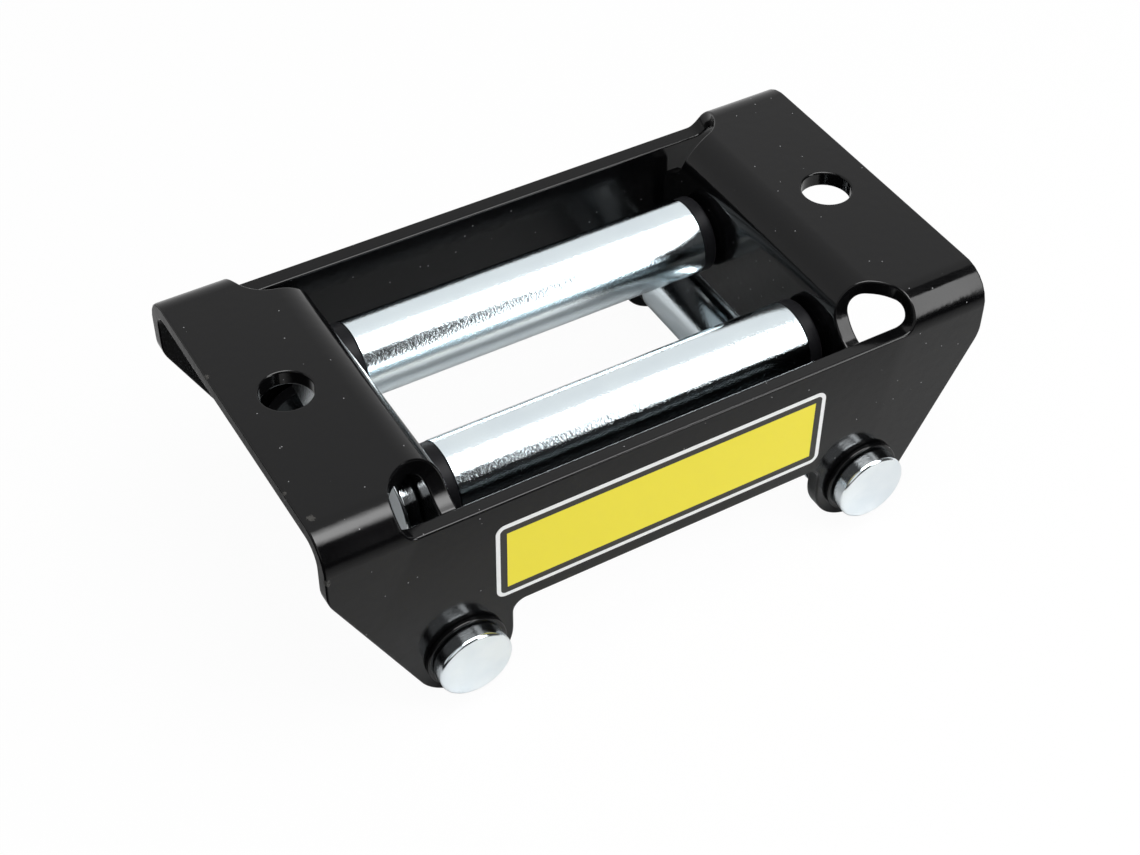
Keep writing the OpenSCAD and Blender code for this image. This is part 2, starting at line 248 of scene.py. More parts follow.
def edge_rings(steps=4):
    """Rings of a rounded sheet edge as (distance into the sheet, depth, outward part, upward part)."""
    upper = [(EDGE * (1 - math.cos(a)), EDGE * (1 - math.sin(a)), math.cos(a), math.sin(a))
             for a in np.linspace(math.pi / 2, 0, steps + 1)]
    return upper + [(s, SHEET - d, out, -up) for s, d, out, up in upper[::-1]]


def loop_directions(loop):
    """For each point of a loop with the sheet on its left: the way into the sheet, scaled for its corner."""
    p = np.array(loop)
    ahead = np.roll(p, -1, 0) - p
    ahead /= np.linalg.norm(ahead, axis=1)[:, None]
    left = np.stack([-ahead[:, 1], ahead[:, 0]], 1)
    both = left + np.roll(left, 1, 0)
    return both / (1 + (left * np.roll(left, 1, 0)).sum(1))[:, None]


def distance_to_loops(points, loops):
    """Distance from each point to the nearest of the loops, and whether it lies inside the sheet."""
    nearest = np.full(len(points), 1e9)
    crossings = np.zeros(len(points), int)
    for loop in loops:
        a = np.array(loop)
        b = np.roll(a, -1, 0)
        for p, q in zip(a, b):
            d = q - p
            t = np.clip(((points - p) @ d) / (d @ d), 0, 1)
            nearest = np.minimum(nearest, np.linalg.norm(points - p - t[:, None] * d, axis=1))
            spans = (p[1] > points[:, 1]) != (q[1] > points[:, 1])
            if d[1] != 0:
                x = p[0] + (points[:, 1] - p[1]) / d[1] * d[0]
                crossings += spans & (points[:, 0] < x)
    return nearest, crossings % 2 == 1


print(len(edge_rings()), "rings round each edge")

# %% Mesh of the flat blank
# Rows of points along the folds: how many to a fold, how far they reach and how far apart they are
ROWS, ROW_REACH_X, ROW_REACH_Y, ROW_STEP = 13, 72.75, 34.5, 1.5


def rows_on_folds():
    """Points inside the blank that let its flat faces bend smoothly."""
    along = np.arange(-ROW_REACH_X, ROW_REACH_X + ROW_STEP / 2, ROW_STEP)
    across = np.arange(-ROW_REACH_Y, ROW_REACH_Y + ROW_STEP / 2, ROW_STEP)
    rows = []
    for share in np.linspace(0, 1, ROWS):
        y = WALL_START + FOLD_LENGTH * share
        x = FLANGE_START - FOLD_LENGTH * share
        for s in (-1, 1):
            rows += [(v, s * y) for v in along]
            rows += [(s * x, v) for v in across]
    return np.array(rows)


def build_blank():
    """The flat blank with thickness, rounded edges and holes. Returns vertices, normals and faces."""
    loops = [spaced(outside), spaced(window)] + [loop[::-1] for loop in hole_loops]
    rings = edge_rings()
    verts, normals, faces, face_loops = [], [], [], []
    for loop in loops:
        into = loop_directions(loop)
        base = len(verts)
        count = len(loop)
        unit = into / np.linalg.norm(into, axis=1)[:, None]
        for inset, depth, out, up in rings:
            for p, m, u in zip(np.array(loop), into, unit):
                verts.append((*(p + m * inset), -depth))
                normals.append((*(-u * out), up))
        for k in range(len(rings) - 1):
            for i in range(count):
                j = (i + 1) % count
                a, b = base + k * count, base + (k + 1) * count
                faces.append((a + i, b + i, b + j, a + j))
        face_loops.append((base, count))
    flat_loops = [[verts[base + i][:2] for i in range(count)] for base, count in face_loops]
    rows = rows_on_folds()
    near, inside = distance_to_loops(rows, flat_loops)
    rows = rows[inside & (near > EDGE)]
    # Both faces share one triangulation
    outline = [v for loop in flat_loops for v in loop]
    edges, start = [], 0
    for loop in flat_loops:
        edges += [(start + i, start + (i + 1) % len(loop)) for i in range(len(loop))]
        start += len(loop)
    points = [Vector(v) for v in outline] + [Vector(v) for v in rows]
    out_points, _, triangles, origins, _, _ = delaunay_2d_cdt(points, edges, [], 0, 1e-6)
    origin = [o[0] for o in origins]
    centres = np.array([[sum(out_points[i][k] for i in t) / 3 for k in (0, 1)] for t in triangles])
    _, keep = distance_to_loops(centres, flat_loops)
    top, bottom = {}, {}
    start = 0
    for base, count in face_loops:
        for i in range(count):
            top[start + i] = base + i
            bottom[start + i] = base + (len(rings) - 1) * count + i
        start += count
    for k, (x, y) in enumerate(rows):
        for side, depth, up in ((top, 0.0, 1), (bottom, SHEET, -1)):
            side[start + k] = len(verts)
            verts.append((x, y, -depth))
            normals.append((0, 0, up))
    for t, kept in zip(triangles, keep):
        if kept:
            a, b, c = (origin[i] for i in t)
            faces.append((top[a], top[b], top[c]))
            faces.append((bottom[a], bottom[c], bottom[b]))
    return np.array(verts), np.array(normals), faces


blank_verts, blank_normals, blank_faces = build_blank()
blank_mesh = bpy.data.meshes.new("frame_blank")
blank_mesh.from_pydata([tuple(v * MM) for v in blank_verts], [], blank_faces)
direction = blank_mesh.attributes.new("flat_normal", "FLOAT_VECTOR", "POINT")
direction.data.foreach_set("vector", blank_normals.astype(np.float32).ravel())
blank = bpy.data.objects.new("painted_frame", blank_mesh)
bpy.context.scene.collection.objects.link(blank)
print(len(blank_verts), "points in the blank,", len(blank_faces), "faces")

# %% [markdown]
# ## The coat of paint
#
# The finish is gloss black powder coat: pigment baked in a clear resin. It is a dielectric, so it
# has no metallic part and its colour sits under a mirror-like skin. The skin is smooth but not
# flat. It keeps a faint orange peel a few millimetres across, and dust that settled before
# baking shows as tiny pale specks.

# %% Material: gloss black powder coat
# Where knocks have crazed the paint near the left plate's edges, with each spot's radius, in mm
SCUFFS = [(-71.9, -31.8, 0, 1.6), (-73.5, -39.8, -8.6, 1.8), (-73.6, 10.8, -0.2, 1.5),
          (-73.3, 35.6, -1, 1.2), (-73.4, -24.0, -0.2, 1.0)]


def dust(tree, place):
    """1 on a dust speck. Real dust is finer: these are 0.27 mm across, as coarse as they need to show."""
    cells = add(tree, "ShaderNodeTexVoronoi", {"Vector": place, "Scale": 450.0, "Randomness": 1.0})
    chance = add(tree, "ShaderNodeSeparateColor", {"Color": cells.outputs["Color"]})
    rare = add(tree, "ShaderNodeMath", {0: chance, 1: 0.6}, operation="GREATER_THAN")
    small = add(tree, "ShaderNodeMath", {0: cells, 1: 0.06}, operation="LESS_THAN")
    return add(tree, "ShaderNodeMath", {0: rare, 1: small}, operation="MULTIPLY")


def crazing(tree, place):
    """1 on the crumbs of crazed paint, which thin out with distance from the middle of a knock."""
    near = 0.0
    for *at, radius in SCUFFS:
        off = add(tree, "ShaderNodeVectorMath", {0: place, 1: [v * MM for v in at]}, operation="DISTANCE")
        close = add(tree, "ShaderNodeMapRange", {
            "Value": off, "From Min": radius * MM, "From Max": 0.0, "To Max": 0.62})
        near = add(tree, "ShaderNodeMath", {0: near, 1: close}, operation="MAXIMUM")
    crumbs = add(tree, "ShaderNodeTexNoise", {"Vector": place, "Scale": 2200.0, "Detail": 3.0})
    crazed = add(tree, "ShaderNodeMath", {0: near, 1: crumbs}, operation="MULTIPLY")
    return add(tree, "ShaderNodeMapRange", {"Value": crazed, "From Min": 0.16, "From Max": 0.2})


def powder_coat():
    material, tree, place = new_material("gloss_black_powder_coat")
    peel = add(tree, "ShaderNodeTexNoise", {
        "Vector": place, "Scale": 420.0, "Detail": 2.0, "Roughness": 0.45})
    bump = add(tree, "ShaderNodeBump", {"Height": peel, "Strength": 0.1, "Distance": 0.0003})
    crazed = crazing(tree, place)
    tone = add(tree, "ShaderNodeMix", {
        0: dust(tree, place), 6: paint("#09090a"), 7: paint("#8c8c8e")}, data_type="RGBA")
    tone = add(tree, "ShaderNodeMix", {0: crazed, 6: tone, 7: paint("#3c3b39")}, data_type="RGBA")
    # Handling dulls the gloss a little, in patches about 15 mm wide, and knocks dull it more
    haze = add(tree, "ShaderNodeTexNoise", {"Vector": place, "Scale": 65.0, "Detail": 3.0})
    gloss = add(tree, "ShaderNodeMapRange", {
        "Value": haze, "From Min": 0.35, "From Max": 0.7, "To Min": 0.10, "To Max": 0.17})
    gloss = add(tree, "ShaderNodeMix", {0: crazed, 2: gloss, 3: 0.45})
    skin = add(tree, "ShaderNodeBsdfPrincipled", {
        "Base Color": tone, "Roughness": gloss, "Normal": bump, "Specular IOR Level": 0.22, "IOR": 1.5})
    add(tree, "ShaderNodeOutputMaterial", {"Surface": skin})
    return material


coat = powder_coat()
print(coat.name, "has", len(coat.node_tree.nodes), "nodes")

# %% [markdown]
# ## Folding
#
# A press brake turns the sheet about the inside of each bend. Geometry Nodes can do the same to
# every point at once: work out how far the point lies past the line where its fold begins, slide
# it back to that line, turn it about the bend's centre by the angle used up, and drop what is
# left straight down. The walls fold along the long sides and the flanges at the window, so a
# mask picks which line a point belongs to. The stored surface directions take the same turn.

# %% The folding tree
RIGHT_ANGLE = math.pi / 2


def new_fold_tree():
    """An empty tree with the fold's named sizes as its inputs."""
    tree = bpy.data.node_groups.new("fold_sheet", "GeometryNodeTree")
    face = tree.interface
    face.new_socket("Geometry", in_out="INPUT", socket_type="NodeSocketGeometry")
    for name in ("Bend Radius", "Middle Radius", "Wall Start", "Flange Start", "Flange Half Width"):
        face.new_socket(name, in_out="INPUT", socket_type="NodeSocketFloat")
    face.new_socket("Paint", in_out="INPUT", socket_type="NodeSocketMaterial")
    face.new_socket("Geometry", in_out="OUTPUT", socket_type="NodeSocketGeometry")
    return tree


def fold_of_point(tree, given, position):
    """How far a point lies past its fold line, and the way in which its fold leads outward."""
    x, y, _ = add(tree, "ShaderNodeSeparateXYZ", {0: position}).outputs
    off_x = add(tree, "ShaderNodeMath", {0: x}, operation="ABSOLUTE")
    off_y = add(tree, "ShaderNodeMath", {0: y}, operation="ABSOLUTE")
    past_wall = add(tree, "ShaderNodeMath", {0: off_y, 1: given["Wall Start"]}, operation="SUBTRACT")
    past_flange = add(tree, "ShaderNodeMath", {0: given["Flange Start"], 1: off_x}, operation="SUBTRACT")
    # A point belongs to a flange if it lies within the flange's width and past its fold line
    in_width = add(tree, "ShaderNodeMath", {0: off_y, 1: given["Flange Half Width"]}, operation="LESS_THAN")
    in_reach = add(tree, "ShaderNodeMath", {0: past_flange, 1: 0.0}, operation="GREATER_THAN")
    is_flange = add(tree, "ShaderNodeMath", {0: in_width, 1: in_reach}, operation="MULTIPLY")
    past = add(tree, "ShaderNodeMix", {0: is_flange, 2: past_wall, 3: past_flange})
    past = add(tree, "ShaderNodeMath", {0: past, 1: 0.0}, operation="MAXIMUM")
    # A wall's fold leads away from the middle, a flange's towards the window
    back = add(tree, "ShaderNodeMath", {0: y}, operation="SIGN")
    right = add(tree, "ShaderNodeMath", {0: x}, operation="SIGN")
    to_window = add(tree, "ShaderNodeMath", {0: right, 1: -1.0}, operation="MULTIPLY")
    to_wall = add(tree, "ShaderNodeCombineXYZ", {"Y": back})
    to_flange = add(tree, "ShaderNodeCombineXYZ", {"X": to_window})
    outward = add(tree, "ShaderNodeMix", {0: is_flange, 4: to_wall, 5: to_flange}, data_type="VECTOR")
    return past, outward


def fold_tree():
    tree = new_fold_tree()
    given = add(tree, "NodeGroupInput").outputs
    position = add(tree, "GeometryNodeInputPosition")
    past, outward = fold_of_point(tree, given, position)
    # The bend uses up the middle layer's length until it has turned a right angle
    angle = add(tree, "ShaderNodeMath", {0: past, 1: given["Middle Radius"]}, operation="DIVIDE")
    angle = add(tree, "ShaderNodeMath", {0: angle, 1: RIGHT_ANGLE}, operation="MINIMUM")
    used = add(tree, "ShaderNodeMath", {0: given["Middle Radius"], 1: RIGHT_ANGLE}, operation="MULTIPLY")
    left_over = add(tree, "ShaderNodeMath", {0: past, 1: used}, operation="SUBTRACT")
    left_over = add(tree, "ShaderNodeMath", {0: left_over, 1: 0.0}, operation="MAXIMUM")
    # Slide the point back to the fold line and turn it about the bend's centre, straight below
    back_by = add(tree, "ShaderNodeMath", {0: past, 1: -1.0}, operation="MULTIPLY")
    slide = add(tree, "ShaderNodeVectorMath", {0: outward, "Scale": back_by}, operation="SCALE")
    slid = add(tree, "ShaderNodeVectorMath", {0: position, 1: slide}, operation="ADD")
    line_x, line_y, _ = add(tree, "ShaderNodeSeparateXYZ", {0: slid}).outputs
    below = add(tree, "ShaderNodeMath", {0: given["Bend Radius"], 1: -1.0}, operation="MULTIPLY")
    centre = add(tree, "ShaderNodeCombineXYZ", {"X": line_x, "Y": line_y, "Z": below})
    axis = add(tree, "ShaderNodeVectorMath", {0: (0, 0, 1), 1: outward}, operation="CROSS_PRODUCT")
    turned = add(tree, "ShaderNodeVectorRotate", {
        "Vector": slid, "Center": centre, "Axis": axis, "Angle": angle})
    down_by = add(tree, "ShaderNodeMath", {0: left_over, 1: -1.0}, operation="MULTIPLY")
    drop = add(tree, "ShaderNodeCombineXYZ", {"Z": down_by})
    place = add(tree, "ShaderNodeVectorMath", {0: turned, 1: drop}, operation="ADD")
    flat_normal = add(tree, "GeometryNodeInputNamedAttribute", {"Name": "flat_normal"},
                      data_type="FLOAT_VECTOR")
    normal = add(tree, "ShaderNodeVectorRotate", {
        "Vector": flat_normal, "Center": (0, 0, 0), "Axis": axis, "Angle": angle})
    kept = add(tree, "GeometryNodeStoreNamedAttribute", {
        "Geometry": given["Geometry"], "Name": "folded_normal", "Value": normal},
        data_type="FLOAT_VECTOR", domain="POINT")
    moved = add(tree, "GeometryNodeSetPosition", {"Geometry": kept, "Position": place})
    real = add(tree, "GeometryNodeRealizeInstances", {"Geometry": moved})
    done = add(tree, "GeometryNodeSetMaterial", {"Geometry": real, "Material": given["Paint"]})
    add(tree, "NodeGroupOutput", {"Geometry": done})
    return tree


folding = fold_tree()
print("the folding tree has", len(folding.nodes), "nodes")

# %% Fold the blank
# The mask for the flanges reaches into the slots beside them, past their rounded edges
MASK_MARGIN = 2.5


def set_inputs(modifier, tree, values):
    """Fills a Geometry Nodes modifier's inputs by their sockets' identifiers."""
    for item in tree.interface.items_tree:
        if item.in_out == "INPUT" and item.name in values:
            modifier[item.identifier] = values[item.name]


def made_plain(obj):
    """Replaces an object's mesh by what its modifiers make of it, and removes them."""
    result = bpy.data.meshes.new_from_object(obj.evaluated_get(bpy.context.evaluated_depsgraph_get()))
    obj.modifiers.clear()
    obj.data = result
    result.name = obj.name


press_brake = blank.modifiers.new("press brake", "NODES")
press_brake.node_group = folding
set_inputs(press_brake, folding, {
    "Bend Radius": BEND * MM, "Middle Radius": NEUTRAL * MM, "Wall Start": WALL_START * MM,
    "Flange Start": FLANGE_START * MM, "Flange Half Width": (FLANGE_HALF_WIDTH + MASK_MARGIN) * MM,
    "Paint": coat})
made_plain(blank)
box = np.array([v.co for v in blank.data.vertices]) / MM
print("folded frame in mm:", box.min(0).round(1), box.max(0).round(1))

# %% [markdown]
# ## Exact shading
#
# Smooth shading usually guesses the surface's direction from the faces round a point, which
# bends the reflections on a flat plate near its edge. The fold has turned the exact directions
# along with the points, so they go into the mesh as custom normals, and plates stay flat mirrors.

# %% Exact shading for the folded sheet


def shade_exactly(mesh, normals):
    """Smooth shading with a known surface direction at every point."""
    mesh.shade_smooth()
    mesh.normals_split_custom_set_from_vertices([tuple(n) for n in normals])


folded = np.zeros(len(blank.data.vertices) * 3, np.float32)
blank.data.attributes["folded_normal"].data.foreach_get("vector", folded)
folded = folded.reshape(-1, 3)
shade_exactly(blank.data, folded / np.linalg.norm(folded, axis=1)[:, None])
for name in ("flat_normal", "folded_normal"):
    blank.data.attributes.remove(blank.data.attributes[name])
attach(blank, "frame_body")
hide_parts("frame")
print(len(folded), "exact normals on the frame")

# %% [markdown]
# ## Turned pieces
#
# Tubes, bushings and pins are all round, so each is a profile swept about its axis. Spin in the
# editor would do it. Here a function rounds every corner of the profile by its own small radius
# and remembers the surface direction at each point, so the flat faces stay optically flat and
# the edges roll over softly, as on machined and moulded parts.

# %% Profiles and the lathe
CORNER_POINTS = 7


def soft_profile(corners):
    """A closed profile of (radius, height, rounding) corners, anticlockwise, with its corners rounded.

    Returns rows of radius, height, and the surface direction in the plane of the profile.
    """
    rows = []
    for i, (r, z, rounding) in enumerate(corners):
        here = np.array((r, z), float)
        before, after = (np.array(corners[(i + k) % len(corners)][:2], float) for k in (-1, 1))
        u, v = here - before, after - here
        u, v = u / np.linalg.norm(u), v / np.linalg.norm(v)
        first, last = np.array([u[1], -u[0]]), np.array([v[1], -v[0]])
        if rounding == 0:
            rows.append((r, z, *(last if r == 0 and after[0] > 0 else first)))
            continue
        side = 1 if u[0] * v[1] - u[1] * v[0] > 0 else -1
        turn = math.acos(np.clip(u @ v, -1, 1)) * side
        centre = here - u * rounding * math.tan(abs(turn) / 2) - first * rounding * side
        start = math.atan2(first[1], first[0])
        for t in np.linspace(0, 1, CORNER_POINTS):
            n = np.array([math.cos(start + turn * t), math.sin(start + turn * t)])
            rows.append((*(centre + n * rounding * side), *n))
    return rows


def lathe(name, corners, at, towards, around=128):
    """An object turned from a closed profile in mm, with its axis from point `at` in direction `towards`."""
    rows = soft_profile(corners)
    turn = np.array(Vector(towards).to_track_quat("Z", "Y").to_matrix())
    at = np.array(at, float)
    angles = np.linspace(0, 2 * math.pi, around, endpoint=False)
    circle = [(math.cos(a), math.sin(a)) for a in angles]
    verts, normals, faces, index = [], [], [], []
    for r, z, nr, nz in rows:
        ring = [(0, 0)] if r < 1e-6 else circle
        index.append([len(verts) + (i if len(ring) > 1 else 0) for i in range(around)])
        for c, s in ring:
            verts.append(tuple((at + turn @ (r * c, r * s, z)) * MM))
            normals.append(tuple(turn @ (nr * c, nr * s, nz)))
    for k, low in enumerate(index):
        high = index[(k + 1) % len(rows)]
        if low[0] == low[1] and high[0] == high[1]:
            continue
        for i in range(around):
            j = (i + 1) % around
            corner = [low[i], low[j], high[j], high[i]]
            faces.append([c for n, c in enumerate(corner) if c not in corner[:n]])
    mesh = bpy.data.meshes.new(name)
    mesh.from_pydata(verts, [], faces)
    shade_exactly(mesh, normals)
    obj = bpy.data.objects.new(name, mesh)
    bpy.context.scene.collection.objects.link(obj)
    return obj


def dress(obj, body, node, material):
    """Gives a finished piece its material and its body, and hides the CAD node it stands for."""
    obj.data.materials.clear()
    obj.data.materials.append(material)
    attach(obj, body)
    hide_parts(node)


print("each rounded corner of a profile gets", CORNER_POINTS, "points")

# %% [markdown]
# ## Zinc plate
#
# The tubes are cut from drawn steel tube and electroplated with zinc, which passivation leaves a
# cold bluish white. It is a metal, so all its colour is in its reflection. The plating follows
# the drawn surface below it: a fine grain, drawn out along the tube, that breaks up the edge of
# every reflection, and a few wider bands of different polish. The pins are cold headed before
# plating, so their faces have a blotchy, slightly pitted skin instead.

# %% Materials: zinc plated tube and pins
# How many grains wide a band of polish is
BAND_GRAINS = 9


def zinc_plate(name, colours, grain_mm, stretch, polish, pit):
    """Electroplated zinc. The grain is in mm, stretched by three factors along X, Y and Z.

    The polish is the roughness of the brightest and dullest bands, the pit is the grain's strength.
    """
    material, tree, place = new_material(name)
    drawn = add(tree, "ShaderNodeMapping", {"Vector": place, "Scale": stretch})
    grain = add(tree, "ShaderNodeTexNoise", {
        "Vector": drawn, "Scale": 1 / (grain_mm * MM), "Detail": 3.0, "Roughness": 0.6})
    bump = add(tree, "ShaderNodeBump", {"Height": grain, "Strength": pit, "Distance": 0.00005})
    bands = add(tree, "ShaderNodeTexNoise", {
        "Vector": drawn, "Scale": 1 / (BAND_GRAINS * grain_mm * MM), "Detail": 2.0})
    gloss = add(tree, "ShaderNodeMapRange", {
        "Value": bands, "From Min": 0.3, "From Max": 0.7, "To Min": polish[0], "To Max": polish[1]})
    cloud = add(tree, "ShaderNodeTexNoise", {"Vector": place, "Scale": 140.0, "Detail": 4.0})
    tint = add(tree, "ShaderNodeMapRange", {"Value": cloud, "From Min": 0.35, "From Max": 0.65})
    tone = add(tree, "ShaderNodeMix", {0: tint, 6: paint(colours[0]), 7: paint(colours[1])}, data_type="RGBA")
    metal = add(tree, "ShaderNodeBsdfPrincipled", {
        "Base Color": tone, "Metallic": 1.0, "Roughness": gloss, "Normal": bump})
    add(tree, "ShaderNodeOutputMaterial", {"Surface": metal})
    return material


tube_along_x, tube_along_y = (
    zinc_plate(f"zinc_plated_tube_along_{axis}", ("#dae4e9", "#dee8ec"), 0.45, stretch, (0.1, 0.13), 0.8)
    for axis, stretch in (("x", (0.8, 1, 1)), ("y", (1, 0.8, 1))))
headed_pin = zinc_plate(
    "zinc_plated_cold_headed_steel", ("#dce4e9", "#e6ecef"), 0.4, (1, 1, 1), (0.1, 0.14), 0.5)
print(tube_along_x.name, "and", headed_pin.name, "have", len(headed_pin.node_tree.nodes), "nodes each")

# %% [markdown]
# ## Four rollers
#
# Each tube is the same stock in two lengths. The cut ends are deburred, which leaves the small
# radius that shows as a thin line where tube and bushing meet.

# %% The tubes
END_PLAY, RIM = 1.2, 2.9
TUBE_RADIUS, TUBE_BORE = 8.5, 6.7
OUTER_DEBURR, INNER_DEBURR = 0.3, 0.15
LONG_TUBE = 2 * (FLANGE_FACE - END_PLAY - RIM)
SHORT_TUBE = 2 * (HALF_WIDTH - SHEET - END_PLAY - RIM)
# Each roller's middle, axis and tube length, and the names of its two ends
ROLLERS = {
    "front": ((0, -LONG_Y, LONG_Z), (1, 0, 0), LONG_TUBE, ("left", "right")),
    "rear": ((0, LONG_Y, LONG_Z), (1, 0, 0), LONG_TUBE, ("left", "right")),
    "left": ((-SHORT_X, 0, SHORT_Z), (0, 1, 0), SHORT_TUBE, ("front", "rear")),
    "right": ((SHORT_X, 0, SHORT_Z), (0, 1, 0), SHORT_TUBE, ("front", "rear")),
}
for side, (middle, axis, length, _) in ROLLERS.items():
    h = length / 2
    wall = [(TUBE_BORE, -h, INNER_DEBURR), (TUBE_RADIUS, -h, OUTER_DEBURR),
            (TUBE_RADIUS, h, OUTER_DEBURR), (TUBE_BORE, h, INNER_DEBURR)]
    tube = lathe(f"{side}_tube", wall, middle, axis, around=192)
    finish = tube_along_x if axis[0] else tube_along_y
    dress(tube, f"{side}_roller", f"{side}_roller_tube", finish)
print("tubes", round(LONG_TUBE, 1), "and", round(SHORT_TUBE, 1), "mm long")

# %% [markdown]
# ## Bushings
#
# The bushings are injection moulded in black nylon. Moulded plastic has a satin skin: its gloss
# is low and even, with a very fine texture from the tool. A flange keeps the steel tube off the
# frame, and a shallow recess round the bore holds grease.

# %% Material and pieces: moulded nylon bushings


def moulded_nylon():
    material, tree, place = new_material("moulded_black_nylon")
    skin = add(tree, "ShaderNodeTexNoise", {"Vector": place, "Scale": 3000.0, "Detail": 2.0})
    bump = add(tree, "ShaderNodeBump", {"Height": skin, "Strength": 0.25, "Distance": 0.00003})
    plastic = add(tree, "ShaderNodeBsdfPrincipled", {
        "Base Color": paint("#161618"), "Roughness": 0.42, "Normal": bump, "Specular IOR Level": 0.08})
    add(tree, "ShaderNodeOutputMaterial", {"Surface": plastic})
    return material


nylon = moulded_nylon()
SEAT = 0.03
PLUG, PLUG_LENGTH, PLUG_CHAMFER = TUBE_BORE - 0.02, 11.0, 0.8
RIM_RADIUS = TUBE_RADIUS - 0.1
RECESS_RADIUS, RECESS_FLOOR = 6.3, RIM - 0.5
# Corners with their roundings, from the plug's end in the tube to the recess in the flange
BUSHING = [
    (PIN_HOLE, -PLUG_LENGTH, 0.15), (PLUG - PLUG_CHAMFER, -PLUG_LENGTH, 0.2),
    (PLUG, PLUG_CHAMFER - PLUG_LENGTH, 0.2), (PLUG, SEAT, 0.1), (RIM_RADIUS, SEAT, 0.25),
    (RIM_RADIUS, RIM, 0.45), (RECESS_RADIUS, RIM, 0.15), (RECESS_RADIUS, RECESS_FLOOR, 0.1),
    (PIN_HOLE, RECESS_FLOOR, 0.15)]
for side, (middle, axis, length, ends) in ROLLERS.items():
    for end, sign in zip(ends, (-1, 1)):
        towards = tuple(sign * a for a in axis)
        at = tuple(m + t * length / 2 for m, t in zip(middle, towards))
        bushing = lathe(f"{side}_bushing_{end}_moulded", BUSHING, at, towards)
        dress(bushing, f"{side}_roller", f"{side}_bushing_{end}", nylon)
print(sum(len(r[3]) for r in ROLLERS.values()), "bushings")

# %% [markdown]
# ## Pins and clips
#
# A cold-headed pin has a flat, round-edged head, a plain shank and, at its far end, a groove
# for the retaining clip. The head sits on the outside of the steel, the clip on the other side,
# and the two short pins have a washer under their heads. The washers have the frame's black coat,
# so only their rounded edge shows, as a thin line of light beside the head. The clips keep their
# CAD shape: stamped spring steel is flat and sharp edged as it is.

# %% The pins, heads first, and the washers
HEAD_RADIUS, HEAD_THICKNESS, HEAD_EDGE = 7.8, 3.7, 0.75
SHANK, SHANK_FILLET = 5, 0.1
TAIL, TAIL_CHAMFER, TAIL_EDGE = 5.2, 0.9, 0.2
GROOVE_SETBACK, GROOVE_WIDTH, GROOVE_RADIUS, GROOVE_EDGE = 0.4, 1.4, 3.9, 0.08
WASHER, WASHER_RADIUS, WASHER_EDGE = 1.2, 8.6, 0.35
WASHER_RING = [(PIN_HOLE, 0, 0.1), (WASHER_RADIUS, 0, WASHER_EDGE),
               (WASHER_RADIUS, WASHER, WASHER_EDGE), (PIN_HOLE, WASHER, 0.1)]


def pin_profile(grip):
    """Corners of a pin whose head's seat is at height 0 and whose clip rests on the steel at `grip`."""
    groove, end = grip + GROOVE_SETBACK, grip + TAIL
    groove_end = groove + GROOVE_WIDTH
    return [
        (0, -HEAD_THICKNESS, 0), (HEAD_RADIUS, -HEAD_THICKNESS, HEAD_EDGE), (HEAD_RADIUS, 0, HEAD_EDGE),
        (SHANK, 0, SHANK_FILLET), (SHANK, groove, GROOVE_EDGE), (GROOVE_RADIUS, groove, GROOVE_EDGE),
        (GROOVE_RADIUS, groove_end, GROOVE_EDGE), (SHANK, groove_end, GROOVE_EDGE),
        (SHANK, end - TAIL_CHAMFER, TAIL_EDGE), (SHANK - TAIL_CHAMFER, end, TAIL_EDGE), (0, end, 0)]


for side, (middle, axis, length, _) in ROLLERS.items():
    seat = (FLANGE_FACE + SHEET if axis[0] else HALF_WIDTH) + SEAT
    stack = 0 if axis[0] else WASHER + SEAT
    at = tuple(m - a * (seat + stack) for m, a in zip(middle, axis))
    pin = lathe(f"{side}_headed_pin", pin_profile(2 * seat + stack), at, axis)
    dress(pin, f"{side}_pin_and_clip", f"{side}_pin", headed_pin)
    if stack:
        at = tuple(m - a * (seat + WASHER) for m, a in zip(middle, axis))
        washer = lathe(f"{side}_flat_washer", WASHER_RING, at, axis)
        dress(washer, f"{side}_pin_and_clip", f"{side}_pin_washer", coat)
print("4 pins and 2 washers")

# %% The clips' finish
spring = zinc_plate("zinc_plated_spring_steel", ("#b9bfc2", "#c8cdd0"), 0.3, (1, 1, 1), (0.28, 0.36), 0.15)
for side in ROLLERS:
    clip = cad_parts[f"{side}_pin_clip"]
    clip.data.materials.clear()
    clip.data.materials.append(spring)
print(len(ROLLERS), "clips in", spring.name)

# %% [markdown]
# ## The sticker
#
# The front wall carries a printed vinyl label. Here it is a plain yellow field inside a black
# and a white line. It is a real sheet, 0.12 mm thick, with its corners rounded by the die, and
# the print is a rule: how far a point lies inside the rounded outline decides its ink.

# %% The sticker's print
STICKER = {"x": -2.4, "z": -22.5, "half_x": 37.3, "half_z": 9.8, "corner": 2.0, "thick": 0.12}
# Inks from the edge inwards: a white line, a black line and the yellow field, with where each begins
WHITE_LINE = "#eceded"
INKS = [(0.9, "#1d1b16"), (2.35, "#efe032")]


